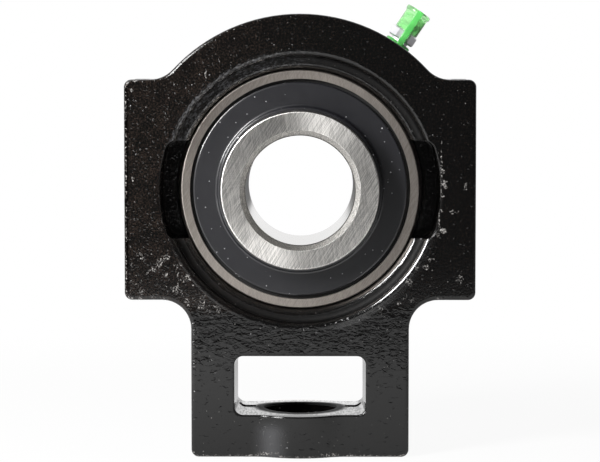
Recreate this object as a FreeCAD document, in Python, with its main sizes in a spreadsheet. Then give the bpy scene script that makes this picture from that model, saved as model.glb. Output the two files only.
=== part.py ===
"""Take-up bearing unit: a slotted iron housing with a self-aligning insert bearing.

Millimetres. The origin is the centre of the bearing. The shaft runs along Y, the end wall with its
screw hole is at -Z, and the short side of the inner ring faces -Y, which is the front.
"""
import FreeCAD, Part
import math
import os
import re

import Sketcher
from FreeCAD import Vector

# Each row is a name, its value and what it measures.
SIZES = [
    ("housing_width", 102, "across the two rail faces"),
    ("housing_thickness", 30, "front face to back face"),
    ("rail_length", 64, "height of the two rail faces"),
    ("top_height", 51, "bearing centre to the top of the crown"),
    ("crown_radius", 50.2, "round top"),
    ("crown_blend", 9, "inside radius between crown and shoulder"),
    ("end_distance", 78, "bearing centre to the end face"),
    ("neck_width", 63.4, "width below the shoulders"),
    ("neck_blend", 8.5, "inside radius between shoulder and neck"),
    ("blend_share", 0.98, "most of a shoulder that a blend may take, as a share"),
    ("corner_radius", 2.2, "outside corners of the outline"),
    ("edge_radius", 1.0, "rounding along the front and back outline"),
    ("groove_depth", 6.5, "rail groove, rail face to bottom"),
    ("groove_width", 12, "rail groove at its bottom"),
    ("groove_flare", 0.3, "rail groove, how much wider each side is at the mouth"),
    ("groove_root", 0.8, "inside corners of the rail groove"),
    ("window_width", 37, "nut window at the parting line"),
    ("window_height", 16, "nut window at the parting line"),
    ("window_draft", 2.5, "degrees, opening from the parting line to both faces"),
    ("window_corner", 2.6, "inside corners of the window"),
    ("end_wall", 13, "end face to the window"),
    ("boss_diameter", 37, "end boss round the screw hole"),
    ("boss_blend", 10, "inside radius between boss and face"),
    ("screw_hole_diameter", 22, "hole for the adjusting screw"),
    ("screw_hole_mouth", 0.8, "rounding of the screw hole"),
    ("seat_clearance", 0.03, "radial, ring to seat"),
    ("seat_width", 17.6, "width of the spherical seat"),
    ("flare_diameter", 72.4, "outer end of the flare beside the seat"),
    ("step_offset", 11, "mid-plane to the step round the seat"),
    ("recess_diameter", 77.6, "recess at the step"),
    ("recess_mouth", 78.6, "recess at the face"),
    ("ridge_radius", 0.7, "rounding of the step's inner edge"),
    ("cove_radius", 1.6, "inside radius at the foot of the recess"),
    ("mouth_radius", 1.2, "rounding of the recess at the face"),
    ("slot_height", 28.6, "loading slot"),
    ("slot_reach", 40.8, "bearing centre to the outer wall of the slot"),
    ("slot_corner", 3.2, "inside corners of the slot"),
    ("lube_groove_low", 0.6, "mid-plane to the near side of the seat's lubrication groove"),
    ("lube_groove_high", 6.6, "mid-plane to its far side"),
    ("lube_groove_depth", 0.8, "lubrication groove at the mid-plane"),
    ("overcut", 1, "how far a cut starts or ends outside the metal"),

    ("insert_diameter", 72, "spherical outside of the outer ring"),
    ("outer_width", 19, "outer ring"),
    ("outer_face_bore", 64.4, "outer ring at its faces"),
    ("outer_land_bore", 60.2, "outer ring beside the ball track"),
    ("seal_shelf", 6.9, "mid-plane to the shelf that carries the seal"),
    ("seal_groove_depth", 0.4, "radial, groove that holds the rim of the seal"),
    ("outer_edge", 0.4, "rounding of the outer ring's corners"),
    ("lube_hole", 1.8, "lubrication hole through the outer ring"),
    ("lube_hole_offset", 5.6, "mid-plane to the lubrication hole"),

    ("bore_diameter", 31.75, "shaft bore"),
    ("inner_diameter", 46.1, "outside of the inner ring"),
    ("inner_front", 17.5, "mid-plane to the front end of the inner ring"),
    ("inner_back", 25.4, "mid-plane to the back end of the inner ring"),
    ("bore_chamfer", 1.6, "both ends of the shaft bore"),
    ("rim_radius", 0.5, "outer edge of both ends of the inner ring"),
    ("screw_inset", 6.5, "back end to the set screws"),
    ("set_screw_diameter", 8, "threaded hole for a set screw"),
    ("set_screw_clearance", 0.08, "radial"),
    ("set_screw_length", 6.8, "whole set screw"),
    ("set_screw_gap", 0.25, "tip of the set screw to the shaft bore"),
    ("set_screw_point", 4.4, "diameter of the cup point's rim"),
    ("set_screw_cup", 2.6, "diameter of the cup's mouth"),
    ("set_screw_cup_depth", 0.65, "cup point"),
    ("set_screw_edge", 0.4, "chamfer at the socket end"),
    ("set_screw_cone", 1.4, "length of the cone behind the point"),
    ("set_screw_socket", 4, "across flats"),
    ("set_screw_socket_depth", 3.6, "hexagon socket"),
    ("set_screw_angle", 60, "degrees from the top of the ring to each set screw"),

    ("ball_count", 9, "balls"),
    ("ball_diameter", 11.112, "ball"),
    ("pitch_diameter", 53.5, "circle of the ball centres"),
    ("track_radius", 5.78, "section of both ball tracks"),
    ("track_clearance", 0.01, "radial, ball to track"),

    ("cage_inside", 49.6, "inner edge of the cage strip"),
    ("cage_outside", 57.4, "outer edge of the cage strip"),
    ("cage_sheet", 0.7, "thickness of the pressed strip"),
    ("pocket_clearance", 0.14, "radial, ball to pocket"),
    ("rivet_diameter", 1.5, "rivet shank"),
    ("rivet_head", 2.7, "rivet head"),
    ("rivet_head_height", 0.45, "rivet head"),

    ("seal_thickness", 0.9, "seal disc"),
    ("seal_lip_clearance", 0.15, "radial, lip to inner ring"),
    ("seal_lip_height", 0.35, "how far the lip bead stands out of the disc"),
    ("seal_lip_width", 1.1, "radial width of the lip bead"),

    ("flinger_diameter", 62.6, "slinger disc"),
    ("flinger_face", 9.3, "mid-plane to the face of the disc"),
    ("flinger_sheet", 0.9, "thickness of the disc and its skirt"),
    ("flinger_skirt", 1.2, "depth of the skirt, with the disc"),
    ("flinger_hub_diameter", 48.2, "collar on the inner ring"),
    ("flinger_hub_height", 1.3, "how far the collar stands out of the disc"),
    ("flinger_edge", 0.45, "rounding of the disc's rim and of the collar"),
    ("flinger_blend", 0.7, "inside radius between disc and collar"),

    ("nipple_angle", 34, "degrees from the top of the crown to the nipple"),
    ("spot_diameter", 10.5, "spot face under the nipple"),
    ("spot_depth", 0.25, "crown to the spot face"),
    ("nipple_thread", 6, "threaded stem"),
    ("nipple_stem", 6, "length of the threaded stem below the spot face"),
    ("nipple_passage", 2.8, "bore from the threaded hole to the seat"),
    ("nipple_neck", 5.2, "neck that holds the cap's ring"),
    ("hexagon_start", 1.85, "spot face to the hexagon"),
    ("hexagon_height", 3.0, "hexagon"),
    ("hexagon_flats", 7, "across flats"),
    ("hexagon_chamfer", 0.35, "corners of the hexagon"),
    ("nipple_waist", 4.4, "waist below the head"),
    ("waist_height", 1.5, "length of the waist"),
    ("nipple_head", 6.4, "widest part of the head"),
    ("head_height", 3.6, "waist to the tip"),
    ("head_flank", 1.2, "waist to the widest part of the head"),
    ("head_band", 0.6, "length of the widest part"),
    ("nipple_tip", 3.2, "flat end of the head"),
    ("valve_bore", 2.7, "bore that holds the valve's ball and spring"),
    ("valve_mouth", 1.5, "hole in the tip"),
    ("valve_roof", 1.1, "tip to the seat of the ball"),
    ("valve_ball", 2.3, "ball of the valve"),
    ("valve_clearance", 0.03, "ball to its seat"),
    ("valve_ledge", 1.2, "spot face down to the ledge under the spring"),
    ("valve_passage", 1.6, "bore below the ledge"),
    ("spring_wire", 0.28, "wire of the valve's spring"),
    ("spring_diameter", 2.0, "mean diameter of the spring"),
    ("spring_turns", 6, "turns"),

    ("cap_ring_height", 1.15, "ring under the hexagon"),
    ("cap_ring_bore", 5.4, "ring round the neck"),
    ("cap_flange", 7.8, "diameter of the ring and of the cap's top flange"),
    ("cap_flange_height", 1.3, "top flange"),
    ("cap_barrel", 7.1, "outside of the cup"),
    ("cap_wall", 0.28, "wall of the cup"),
    ("cap_rim_gap", 0.1, "hexagon to the rim of the cup"),
    ("cap_roof_gap", 0.3, "tip of the nipple to the inside of the cup"),
    ("cap_roof", 1.15, "thickness of the cup's end, below its hollow top"),
    ("cap_dimple", 4.6, "hollow in the top of the cap"),
    ("strap_width", 1.9, "strap between ring and cap"),
    ("strap_thickness", 0.8, "strap"),
    ("strap_offset", 0.4, "nipple's axis to the middle of the strap"),
    ("strap_gap", 0.15, "hexagon to the strap"),
]
NAMES = [row[0] for row in SIZES]
WORD = re.compile("[a-z_]+")

# Edges are picked by their place. Two lengths count as the same when they differ by less than
# TOUCH, and two directions when their shares of an axis differ by less than PARALLEL.
TOUCH = 0.02
PARALLEL = 1e-6

# Lengths that several pieces share, as texts worked out from the named sizes.
SEAT_RADIUS = "(insert_diameter / 2 + seat_clearance)"
INNER_TRACK = "(pitch_diameter - ball_diameter) / 2 - track_clearance"
OUTER_TRACK = "(pitch_diameter + ball_diameter) / 2 + track_clearance"
POCKET_RADIUS = "(ball_diameter / 2 + pocket_clearance)"
SCREW_PLANE = "(inner_back - screw_inset)"
SCREW_TIP = "(bore_diameter / 2 + set_screw_gap)"
CROWN_OFFSET = "(top_height - crown_radius)"
CROWN_REACH = "(%s * cos(nipple_angle) + sqrt(crown_radius ^ 2 - (%s * sin(nipple_angle)) ^ 2))" % (
    CROWN_OFFSET, CROWN_OFFSET)
NIPPLE_SEAT = "(%s - spot_depth)" % CROWN_REACH
HEXAGON_BASE = "(%s + hexagon_start)" % NIPPLE_SEAT
WAIST_BASE = "(%s + hexagon_height)" % HEXAGON_BASE
HEAD_BASE = "(%s + waist_height)" % WAIST_BASE
NIPPLE_TIP = "(%s + head_height)" % HEAD_BASE
VALVE_SEAT = "(%s - valve_roof)" % NIPPLE_TIP
VALVE_BALL_DROP = "(sqrt(valve_ball ^ 2 - valve_mouth ^ 2) / 2 + valve_clearance)"
VALVE_BALL_CENTRE = "(%s - %s)" % (VALVE_SEAT, VALVE_BALL_DROP)
VALVE_LEDGE = "(%s - valve_ledge)" % NIPPLE_SEAT
CAP_ROOF = "(%s + cap_roof_gap)" % NIPPLE_TIP
CAP_TOP = "(%s + cap_roof_gap + cap_roof + cap_flange_height / 2)" % NIPPLE_TIP

doc = FreeCAD.newDocument("take_up_unit")
sheet = doc.addObject("Spreadsheet::Sheet", "Sizes")
nodes = []


def fill_sheet():
    """Write the named sizes into the sheet, one row each."""
    for row, (name, value, note) in enumerate(SIZES, start=1):
        sheet.set("A%d" % row, name)
        sheet.set("B%d" % row, str(value))
        sheet.set("C%d" % row, note)
        sheet.setAlias("B%d" % row, name)
    doc.recompute()


def link(text):
    """The text with each size's name pointing at the sheet."""
    return WORD.sub(lambda word: "Sizes." + word[0] if word[0] in NAMES else word[0], text)


def number(text):
    """What a text of sizes comes to now."""
    return float(sheet.evalExpression(link(text)))


def bind(thing, **texts):
    """Tie properties of a document object to texts of sizes."""
    for name, text in texts.items():
        thing.setExpression(name, link(text))


def new_body(label):
    """A body that becomes the node of that name."""
    body = doc.addObject("PartDesign::Body", label)
    nodes.append(body)
    return body


def new_sketch(body, name, plane, lift=None):
    """A sketch on one of the body's own planes, moved along the plane's normal."""
    sketch = body.newObject("Sketcher::SketchObject", name)
    origin = [part for part in body.Origin.OriginFeatures if part.Role == plane + "_Plane"]
    sketch.AttachmentSupport = [(origin[0], "")]
    sketch.MapMode = "FlatFace"
    if lift:
        sketch.setExpression("AttachmentOffset.Base.z", link(lift))
    return sketch


def pin_point(sketch, line, end, across, along):
    """Tie the two coordinates of a point to texts of sizes."""
    for kind, axis, text in (("DistanceX", -2, across), ("DistanceY", -1, along)):
        if text == "0":
            sketch.addConstraint(Sketcher.Constraint("PointOnObject", line, end, axis))
        else:
            index = sketch.addConstraint(Sketcher.Constraint(kind, line, end, number(text)))
            sketch.setExpression("Constraints[%d]" % index, link(text))


def arc_between(start, finish, radius, side):
    """An arc between two points, with its centre on the left (1) or the right (-1)."""
    chord = finish - start
    reach = math.sqrt(radius ** 2 - (chord.Length / 2) ** 2)
    left = Vector(-chord.y, chord.x, 0).normalize()
    centre = (start + finish) / 2 + left * reach * side
    first, last = (start, finish) if side > 0 else (finish, start)
    angles = [math.atan2(point.y - centre.y, point.x - centre.x) for point in (first, last)]
    return Part.ArcOfCircle(Part.Circle(centre, Vector(0, 0, 1), radius), *angles)


def outline(sketch, corners):
    """A closed outline. A corner is (across, along), or has a radius and a side after it,
    and then an arc leads to the next corner."""
    points = [Vector(number(corner[0]), number(corner[1]), 0) for corner in corners]
    starts = []
    ends = []
    for index, corner in enumerate(corners):
        start, finish = points[index], points[(index + 1) % len(points)]
        if len(corner) == 4:
            radius, side = corner[2:]
            line = sketch.addGeometry(arc_between(start, finish, number(radius), side))
            rule = sketch.addConstraint(Sketcher.Constraint("Radius", line, number(radius)))
            sketch.setExpression("Constraints[%d]" % rule, link(radius))
            starts.append((line, 1 if side > 0 else 2))
            ends.append((line, 2 if side > 0 else 1))
        else:
            line = sketch.addGeometry(Part.LineSegment(start, finish))
            starts.append((line, 1))
            ends.append((line, 2))
    for index, corner in enumerate(corners):
        sketch.addConstraint(Sketcher.Constraint("Coincident", *ends[index - 1], *starts[index]))
        pin_point(sketch, *starts[index], corner[0], corner[1])
    return sketch


def circle(sketch, across, along, radius):
    """A circle with its centre and radius tied to texts of sizes."""
    middle = Vector(number(across), number(along), 0)
    line = sketch.addGeometry(Part.Circle(middle, Vector(0, 0, 1), number(radius)))
    pin_point(sketch, line, 3, across, along)
    rule = sketch.addConstraint(Sketcher.Constraint("Radius", line, number(radius)))
    sketch.setExpression("Constraints[%d]" % rule, link(radius))
    return sketch


def hexagon(sketch, flats):
    """A hexagon about the sketch's centre, with two flats along its upright axis."""
    corner = "(%s) / sqrt(3)" % flats
    turns = [60 * step for step in range(6)]
    return outline(sketch, [("%s * cos(%d)" % (corner, turn), "%s * sin(%d)" % (corner, turn))
                            if turn % 180 else ("%s * cos(%d)" % (corner, turn), "0")
                            for turn in turns])


def feature(body, kind, name, sketch, **texts):
    """A sketched feature with its sizes tied to the sheet."""
    made = body.newObject("PartDesign::" + kind, name)
    made.Profile = sketch
    bind(made, **texts)
    return made


def pad(body, name, sketch, length, both_ways=False):
    """Material on the sketch, along its normal or half to each side."""
    made = feature(body, "Pad", name, sketch, Length=length)
    made.SideType = "Symmetric" if both_ways else "One side"
    doc.recompute()
    return made


def pocket(body, name, sketch, length, both_ways=False, along_normal=False):
    """A cut against the sketch's normal, along it, or half to each side."""
    made = feature(body, "Pocket", name, sketch, Length=length)
    made.SideType = "Symmetric" if both_ways else "One side"
    made.Reversed = along_normal
    doc.recompute()
    return made


def turned(body, kind, name, sketch):
    """A Revolution or a Groove, full circle about the sketch's upright axis."""
    made = feature(body, kind, name, sketch)
    made.ReferenceAxis = (sketch, ["V_Axis"])
    made.Angle = 360
    doc.recompute()
    return made


def mirrored(body, name, originals):
    """Copies of features on the other side of the plane X = 0."""
    made = body.newObject("PartDesign::Mirrored", name)
    made.Originals = originals
    plane = [part for part in body.Origin.OriginFeatures if part.Role == "YZ_Plane"]
    made.MirrorPlane = (plane[0], [""])
    body.Tip = made
    doc.recompute()
    return made


def eased(body, kind, name, size, chosen):
    """A Fillet or Chamfer on the edges of the body that the test picks."""
    base = body.Tip
    names = ["Edge%d" % place for place, edge in enumerate(base.Shape.Edges, start=1) if chosen(edge)]
    if not names:
        raise RuntimeError("no edge for " + name)
    made = body.newObject("PartDesign::" + kind, name)
    made.Base = (base, names)
    bind(made, **{"Radius" if kind == "Fillet" else "Size": size})
    doc.recompute()
    return made


def near(one, other, margin=TOUCH):
    """Whether two lengths agree."""
    return abs(one - other) < margin


def ring_edge(edge, radius, offset):
    """Whether an edge is part of a circle about the Y axis, of this radius and offset."""
    curve = edge.Curve
    return (isinstance(curve, Part.Circle) and near(curve.Radius, radius)
            and near(curve.Center.y, offset) and near(abs(curve.Axis.y), 1, PARALLEL)
            and near(curve.Center.x, 0) and near(curve.Center.z, 0))


def upright_ring(edge, radius, height):
    """Whether an edge is part of a circle about the Z axis, of this radius and height."""
    curve = edge.Curve
    return (isinstance(curve, Part.Circle) and near(curve.Radius, radius)
            and near(curve.Center.z, height) and near(abs(curve.Axis.z), 1, PARALLEL))


def runs_through(edge, across, height):
    """Whether an edge runs front to back at |X| = across and Z = height."""
    box = edge.BoundBox
    return (near(box.XMin, box.XMax) and near(box.ZMin, box.ZMax)
            and near(abs(box.XMin), across) and near(box.ZMin, height))


def housing_form(body):
    """The outside of the casting: crown, shoulders, neck and end boss."""
    half, neck, rail = "housing_width / 2", "neck_width / 2", "rail_length / 2"
    rise = "(rail_length / 2 - %s)" % CROWN_OFFSET
    crown = "sqrt(crown_radius ^ 2 - %s ^ 2)" % rise
    crown_room = "((%s - corner_radius) ^ 2 - %s ^ 2) / (2 * (crown_radius - %s))" % (half, crown, rise)
    neck_room = "(%s - %s - corner_radius)" % (half, neck)
    shape = outline(new_sketch(body, "housing_outline", "XZ"), [
        (crown, rail, "crown_radius", 1),
        ("-" + crown, rail),
        ("-" + half, rail),
        ("-" + half, "-" + rail),
        ("-" + neck, "-" + rail),
        ("-" + neck, "-end_distance"),
        (neck, "-end_distance"),
        (neck, "-" + rail),
        (half, "-" + rail),
        (half, rail)])
    pad(body, "plate", shape, "housing_thickness", both_ways=True)

    top, low, end = number(rail), -number(rail), -number("end_distance")
    eased(body, "Fillet", "crown_blends", "min(crown_blend; %s * blend_share)" % crown_room,
          lambda edge: runs_through(edge, number(crown), top))
    eased(body, "Fillet", "neck_blends", "min(neck_blend; %s * blend_share)" % neck_room,
          lambda edge: runs_through(edge, number(neck), low))
    eased(body, "Fillet", "outer_corners", "corner_radius",
          lambda edge: runs_through(edge, number(half), top) or runs_through(edge, number(half), low)
          or runs_through(edge, number(neck), end))

    boss = circle(new_sketch(body, "boss_outline", "XY", "-end_distance"), "0", "0", "boss_diameter / 2")
    pad(body, "end_boss", boss, "end_wall + window_height / 2")
    face = number("housing_thickness / 2")
    foot = number("sqrt(boss_diameter ^ 2 - housing_thickness ^ 2) / 2")

    def boss_foot(edge):
        box = edge.BoundBox
        return (near(abs(box.XMin), foot) and near(box.XMin, box.XMax)
                and near(abs(box.YMin), face) and near(box.YMin, box.YMax))

    eased(body, "Fillet", "boss_blends", "boss_blend", boss_foot)


def window_outline(body, name, lift, spread):
    """The window's outline at a distance in front of the parting line, wider by a draft."""
    half = "(window_width / 2 + %s)" % spread
    floor = "-(end_distance - end_wall + %s)" % spread
    roof = "-(end_distance - end_wall - window_height - %s)" % spread
    return outline(new_sketch(body, name, "XZ", lift), [
        (half, roof), ("-" + half, roof), ("-" + half, floor), (half, floor)])


def window_cut(body):
    """The nut window, drafted both ways from the parting line."""
    reach = "(boss_diameter / 2 + overcut)"
    for name, side in (("front", ""), ("back", "-")):
        cut = body.newObject("PartDesign::SubtractiveLoft", "window_" + name)
        cut.Profile = window_outline(body, "parting_line_" + name, None, "0")
        cut.Sections = [window_outline(body, "mouth_" + name, side + reach,
                                       "%s * tan(window_draft)" % reach)]
        cut.Ruled = True
        doc.recompute()
    side, high = number("window_width / 2"), number("window_height / 2")
    middle = -number("end_distance - end_wall - window_height / 2")
    spread = number("%s * tan(window_draft)" % reach) + TOUCH

    def window_corner(edge):
        point = edge.CenterOfMass
        return (edge.BoundBox.YLength > TOUCH and near(abs(point.x), side, spread)
                and near(abs(point.z - middle), high, spread))

    eased(body, "Fillet", "window_corners", "window_corner", window_corner)


def outline_rounding(body):
    """Round the long edges where the outside of the casting meets its two faces."""
    face = number("housing_thickness / 2")
    end = -number("end_distance")
    beside_window = number("(window_width + neck_width) / 4")

    def outer_edge(edge):
        box = edge.BoundBox
        flat = near(abs(box.YMin), face) and near(abs(box.YMax), face) and near(box.YMin, box.YMax)
        inside = abs(edge.CenterOfMass.x) < beside_window and edge.CenterOfMass.z < 0
        on_end = near(box.ZMin, end) and near(box.ZMax, end)
        on_boss = (on_end and box.YLength > TOUCH
                   and abs(box.YMin) > face - TOUCH and abs(box.YMax) > face - TOUCH)
        return on_boss or (flat and (not inside or near(box.ZMin, end)))

    eased(body, "Fillet", "outline_rounding", "edge_radius", outer_edge)


def rail_grooves(body):
    """The two grooves that slide on the rails."""
    mouth, bottom = "(housing_width / 2 + overcut)", "(housing_width / 2 - groove_depth)"
    wide = "(groove_width / 2 + groove_flare * (groove_depth + overcut) / groove_depth)"
    narrow = "(groove_width / 2)"
    shape = outline(new_sketch(body, "groove_outline", "XY"), [
        (mouth, wide), (bottom, narrow), (bottom, "-" + narrow), (mouth, "-" + wide)])
    groove = pocket(body, "right_groove", shape, "rail_length + 2 * overcut", both_ways=True)
    mirrored(body, "left_groove", [groove])
    root = [number(bottom), number(narrow)]
    eased(body, "Fillet", "groove_roots", "groove_root",
          lambda edge: edge.BoundBox.ZLength > TOUCH and near(abs(edge.CenterOfMass.x), root[0])
          and near(abs(edge.CenterOfMass.y), root[1]))


def bearing_opening(body):
    """The stepped opening and the spherical seat, alike on both sides."""
    end, step, seat = "(housing_thickness / 2 + overcut)", "step_offset", "(seat_width / 2)"
    throat = "sqrt(%s ^ 2 - %s ^ 2)" % (SEAT_RADIUS, seat)
    mouth, recess, flare = "recess_mouth / 2", "recess_diameter / 2", "flare_diameter / 2"
    right = [(mouth, end), (recess, step), (flare, step), (throat, seat)]
    corners = [("0", end)] + right
    corners += [(across, "-" + along) for across, along in reversed(right)] + [("0", "-" + end)]
    turned(body, "Groove", "opening", outline(new_sketch(body, "opening_section", "XY"), corners))

    turned(body, "Groove", "seat", outline(new_sketch(body, "seat_section", "XY"), [
        ("0", "-" + seat), (throat, "-" + seat, SEAT_RADIUS, 1), (throat, seat), ("0", seat)]))

    depth = "(%s + lube_groove_depth)" % SEAT_RADIUS
    turned(body, "Groove", "lube_groove", outline(new_sketch(body, "lube_groove_section", "XY"), [
        ("0", "lube_groove_low"), (depth, "lube_groove_low"),
        (depth, "lube_groove_high"), ("0", "lube_groove_high")]))

    slope = (number(mouth) - number(recess)) / (number(end) - number(step))
    face = number("housing_thickness / 2")
    at_face = number(mouth) - slope * (number(end) - face)

    def on_both(radius, offset):
        return lambda edge: ring_edge(edge, radius, offset) or ring_edge(edge, radius, -offset)

    eased(body, "Fillet", "mouth_rounding", "mouth_radius", on_both(at_face, face))
    eased(body, "Fillet", "recess_cove", "cove_radius", on_both(number(recess), number(step)))
    eased(body, "Fillet", "step_ridge", "ridge_radius", on_both(number(flare), number(step)))


def loading_slots(body):
    """Two slots in the front, down to the mid-plane, through which the insert goes in edge on."""
    high, wall = "slot_height / 2", "(slot_reach - slot_corner)"
    flat_end = "sqrt(%s ^ 2 - (slot_height / 2 - slot_corner) ^ 2)" % wall
    wall_end = "%s * slot_reach / %s" % (flat_end, wall)
    wall_height = "(slot_height / 2 - slot_corner) * slot_reach / " + wall
    shape = outline(new_sketch(body, "slot_outline", "XZ"), [
        (wall_end, "-" + wall_height, "slot_reach", 1),
        (wall_end, wall_height, "slot_corner", 1),
        (flat_end, high),
        ("-" + flat_end, high, "slot_corner", 1),
        ("-" + wall_end, wall_height, "slot_reach", 1),
        ("-" + wall_end, "-" + wall_height, "slot_corner", 1),
        ("-" + flat_end, "-" + high),
        (flat_end, "-" + high, "slot_corner", 1)])
    pocket(body, "slots", shape, "housing_thickness / 2 + overcut", along_normal=True)


def screw_hole(body):
    """The hole in the end wall for the adjusting screw."""
    shape = circle(new_sketch(body, "screw_hole_outline", "XY", "-end_distance"),
                   "0", "0", "screw_hole_diameter / 2")
    pocket(body, "screw_hole", shape, "end_wall + overcut", along_normal=True)
    radius, end = number("screw_hole_diameter / 2"), -number("end_distance")
    eased(body, "Chamfer", "screw_hole_mouth", "screw_hole_mouth",
          lambda edge: upright_ring(edge, radius, end))


def nipple_hole(body):
    """The spot face, the threaded hole for the nipple and the passage to the seat."""
    turn = FreeCAD.Rotation(Vector(0, 1, 0), number("nipple_angle"))
    cuts = (("spot_face", "spot_diameter / 2", "end_wall", True),
            ("nipple_hole", "nipple_thread / 2", "nipple_stem + nipple_passage", False),
            ("nipple_passage", "nipple_passage / 2", NIPPLE_SEAT + " - insert_diameter / 2 + nipple_passage",
             False))
    for name, radius, length, outward in cuts:
        sketch = new_sketch(body, name + "_outline", "XY")
        sketch.AttachmentOffset = FreeCAD.Placement(Vector(), turn)
        sketch.setExpression("AttachmentOffset.Base.x", link(NIPPLE_SEAT + " * sin(nipple_angle)"))
        sketch.setExpression("AttachmentOffset.Base.z", link(NIPPLE_SEAT + " * cos(nipple_angle)"))
        sketch.setExpression("AttachmentOffset.Rotation.Angle", link("nipple_angle"))
        circle(sketch, "0", "0", radius)
        pocket(body, name, sketch, length, along_normal=outward)


def make_housing():
    """The casting."""
    body = new_body("housing")
    housing_form(body)
    window_cut(body)
    outline_rounding(body)
    rail_grooves(body)
    bearing_opening(body)
    loading_slots(body)
    screw_hole(body)
    nipple_hole(body)


def make_outer_ring():
    """The outer ring, spherical outside, with a track, two seal seats and lubrication holes."""
    body = new_body("outer_ring")
    end, shelf = "(outer_width / 2)", "seal_shelf"
    rim = "sqrt((insert_diameter / 2) ^ 2 - (outer_width / 2) ^ 2)"
    face, land = "outer_face_bore / 2", "outer_land_bore / 2"
    groove = "(outer_face_bore / 2 + seal_groove_depth)"
    over = "(seal_shelf + seal_thickness)"
    right = [(land, shelf), (groove, shelf), (groove, over), (face, over), (face, end)]
    corners = [(rim, "-" + end, "insert_diameter / 2", 1), (rim, end)]
    corners += list(reversed(right))
    corners += [(across, "-" + along) for across, along in right]
    turned(body, "Revolution", "ring", outline(new_sketch(body, "ring_section", "XY"), corners))
    track = circle(new_sketch(body, "track_section", "XY"),
                   OUTER_TRACK + " - track_radius", "0", "track_radius")
    turned(body, "Groove", "track", track)
    edge_radius, offset = number(rim), number(end)
    eased(body, "Fillet", "rounded_corners", "outer_edge",
          lambda edge: ring_edge(edge, edge_radius, offset) or ring_edge(edge, edge_radius, -offset))
    hole = circle(new_sketch(body, "lube_hole_outline", "XY"), "0", "lube_hole_offset", "lube_hole / 2")
    pocket(body, "lube_holes", hole, "insert_diameter + 2 * overcut", both_ways=True)


def make_inner_ring():
    """The inner ring, longer at the back, with two threaded holes."""
    body = new_body("inner_ring")
    bore, rim = "bore_diameter / 2", "inner_diameter / 2"
    turned(body, "Revolution", "ring", outline(new_sketch(body, "ring_section", "XY"), [
        (bore, "-inner_front"), (rim, "-inner_front"), (rim, "inner_back"), (bore, "inner_back")]))
    track = circle(new_sketch(body, "track_section", "XY"),
                   INNER_TRACK + " + track_radius", "0", "track_radius")
    turned(body, "Groove", "track", track)
    front, back = -number("inner_front"), number("inner_back")
    bore_size, rim_size = number(bore), number(rim)
    eased(body, "Chamfer", "bore_chamfers", "bore_chamfer",
          lambda edge: ring_edge(edge, bore_size, front) or ring_edge(edge, bore_size, back))
    eased(body, "Fillet", "rim_rounding", "rim_radius",
          lambda edge: ring_edge(edge, rim_size, front) or ring_edge(edge, rim_size, back))
    for name, side in (("first", ""), ("second", "-")):
        sketch = new_sketch(body, name + "_hole_outline", "XY")
        sketch.AttachmentOffset = FreeCAD.Placement(
            Vector(), FreeCAD.Rotation(Vector(0, 1, 0), number(side + "set_screw_angle")))
        sketch.setExpression("AttachmentOffset.Rotation.Angle", link(side + "set_screw_angle"))
        circle(sketch, "0", SCREW_PLANE, "set_screw_diameter / 2")
        pocket(body, name + "_screw_hole", sketch, "inner_diameter / 2 + overcut", along_normal=True)


def make_balls():
    """The balls, evenly spaced, the first at the top."""
    for index in range(int(number("ball_count"))):
        ball = doc.addObject("Part::Sphere", "ball_%d" % (index + 1))
        bind(ball, Radius="ball_diameter / 2")
        turn = "(360 * %d / ball_count)" % index
        ball.setExpression("Placement.Base.x", link("pitch_diameter / 2 * sin%s" % turn))
        ball.setExpression("Placement.Base.z", link("pitch_diameter / 2 * cos%s" % turn))
        nodes.append(ball)


def round_steps(shape, first=0.0):
    """Copies of a shape beside each ball, turned about the Y axis."""
    count = int(number("ball_count"))
    copies = [shape.copy() for _ in range(count)]
    for index, copy in enumerate(copies):
        copy.rotate(Vector(), Vector(0, 1, 0), 360 / count * (index + first))
    return copies


def make_cage_half(label, side):
    """One pressed half of the cage: a flat strip with a round pocket over each ball."""
    inside, outside = number("cage_inside / 2"), number("cage_outside / 2")
    thickness, pocket_size = number("cage_sheet"), number(POCKET_RADIUS)
    outward = Vector(0, side, 0)

    def strip(depth):
        ring = Part.makeCylinder(outside, depth, Vector(), outward)
        return ring.cut(Part.makeCylinder(inside, depth, Vector(), outward))

    def ball_room(radius):
        """A sphere over the first ball, its seam on the side of the other half."""
        room = Part.makeSphere(radius)
        room.rotate(Vector(), Vector(0, 0, 1), -90 * side)
        room.translate(Vector(0, 0, number("pitch_diameter / 2")))
        return room

    back = ball_room(pocket_size + thickness).common(strip(2 * pocket_size)).cut(ball_room(pocket_size))
    hole = Part.makeCylinder(number("rivet_diameter / 2"), 4 * thickness,
                             Vector(0, -2 * thickness, number("pitch_diameter / 2")), Vector(0, 1, 0))
    flat = strip(thickness).cut(round_steps(ball_room(pocket_size)) + round_steps(hole, 0.5))
    half = doc.addObject("Part::Feature", label)
    half.Shape = flat.fuse(round_steps(back)).removeSplitter()
    nodes.append(half)


def make_cage_rivets():
    """The rivets between the balls, all in one node."""
    sheet_level = "cage_sheet"
    head_level = "(cage_sheet + rivet_head_height)"
    shank, head = "rivet_diameter / 2", "rivet_head / 2"
    rivets = []
    for index in range(int(number("ball_count"))):
        turn = number("360 / ball_count") * (index + 0.5)
        middle = Vector(math.sin(math.radians(turn)), 0, math.cos(math.radians(turn)))
        middle = middle * number("pitch_diameter / 2")
        solid = Part.makeCylinder(number(shank), 2 * number(head_level),
                                  middle - Vector(0, number(head_level), 0), Vector(0, 1, 0))
        for side in (-1, 1):
            base = middle + Vector(0, side * number(sheet_level), 0)
            solid = solid.fuse(Part.makeCone(number(head), number(shank), number("rivet_head_height"),
                                             base, Vector(0, side, 0)))
        rivets.append(solid.removeSplitter())
    group = doc.addObject("Part::Feature", "cage_rivets")
    group.Shape = Part.makeCompound(rivets)
    nodes.append(group)


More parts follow.
